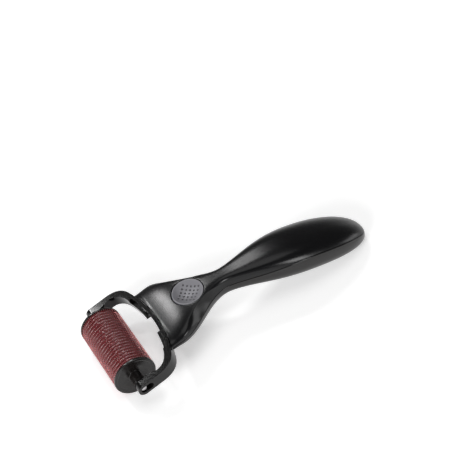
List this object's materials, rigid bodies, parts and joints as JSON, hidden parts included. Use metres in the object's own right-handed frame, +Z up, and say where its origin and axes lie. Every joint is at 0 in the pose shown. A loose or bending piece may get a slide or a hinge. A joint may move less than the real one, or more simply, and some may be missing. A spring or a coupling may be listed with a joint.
{
  "type": "derma roller",
  "caption": "Hand-held skin needling roller: needle drum in a U-shaped head that slides off a curved two-shell handle at the push of a dished thumb button.",
  "frame": {"origin": "middle of the footprint, on the surface that the drum and the tail rest on", "axes": "+X from the drum to the tail, +Y to the user's right when the drum points ahead, +Z up"},
  "size_m": [0.1554, 0.0618, 0.0254],
  "materials": {
    "satin_black": "satin moulded",
    "gloss_black": "gloss moulded",
    "head_black": "semi-gloss moulded",
    "cap_black": "semi-gloss moulded",
    "button_grey": "soft satin",
    "spacer_red": "clear-tinted moulded",
    "needle_steel": "fine ground",
    "plain_steel": "drawn"
  },
  "bodies": {
    "handle": {"handle_top_shell": "satin_black", "handle_bottom_shell": "gloss_black", "button_spring": "plain_steel", "latch_leaf": "plain_steel", "latch_screw": "plain_steel"},
    "button": {"release_button": "button_grey"},
    "head": {"head_yoke": "head_black"},
    "drum": {"needle_disc_01": "needle_steel", "needle_disc_02": "needle_steel", "needle_disc_03": "needle_steel", "needle_disc_04": "needle_steel", "needle_disc_05": "needle_steel", "needle_disc_06": "needle_steel", "needle_disc_07": "needle_steel", "needle_disc_08": "needle_steel", "needle_disc_09": "needle_steel", "needle_disc_10": "needle_steel", "needle_disc_11": "needle_steel", "needle_disc_12": "needle_steel", "needle_disc_13": "needle_steel", "needle_disc_14": "needle_steel", "needle_disc_15": "needle_steel", "needle_disc_16": "needle_steel", "needle_disc_17": "needle_steel", "needle_disc_18": "needle_steel", "needle_disc_19": "needle_steel", "needle_disc_20": "needle_steel", "spacer_01": "spacer_red", "spacer_02": "spacer_red", "spacer_03": "spacer_red", "spacer_04": "spacer_red", "spacer_05": "spacer_red", "spacer_06": "spacer_red", "spacer_07": "spacer_red", "spacer_08": "spacer_red", "spacer_09": "spacer_red", "spacer_10": "spacer_red", "spacer_11": "spacer_red", "spacer_12": "spacer_red", "spacer_13": "spacer_red", "spacer_14": "spacer_red", "spacer_15": "spacer_red", "spacer_16": "spacer_red", "spacer_17": "spacer_red", "spacer_18": "spacer_red", "spacer_19": "spacer_red", "drum_core": "spacer_red", "end_cap_left": "cap_black", "end_cap_right": "cap_black", "axle": "plain_steel"}
  },
  "joints": [
    {"name": "button_press", "type": "slide", "parent": "handle", "child": "button", "axis": [0.0909, 0, -0.9959], "range_m": [0, 0.001], "stiffness_N_per_m": 500, "springref_m": -0.001, "deforming": ["button_spring", "latch_leaf"]},
    {"name": "head_release", "type": "slide", "parent": "handle", "child": "head", "axis": [-0.9744, 0, -0.225], "range_m": [0, 0.018]},
    {"name": "drum_spin", "type": "hinge", "parent": "head", "child": "drum", "pos_m": [-0.0665, 0, 0.01115], "axis": [0, 1, 0], "continuous": true}
  ]
}
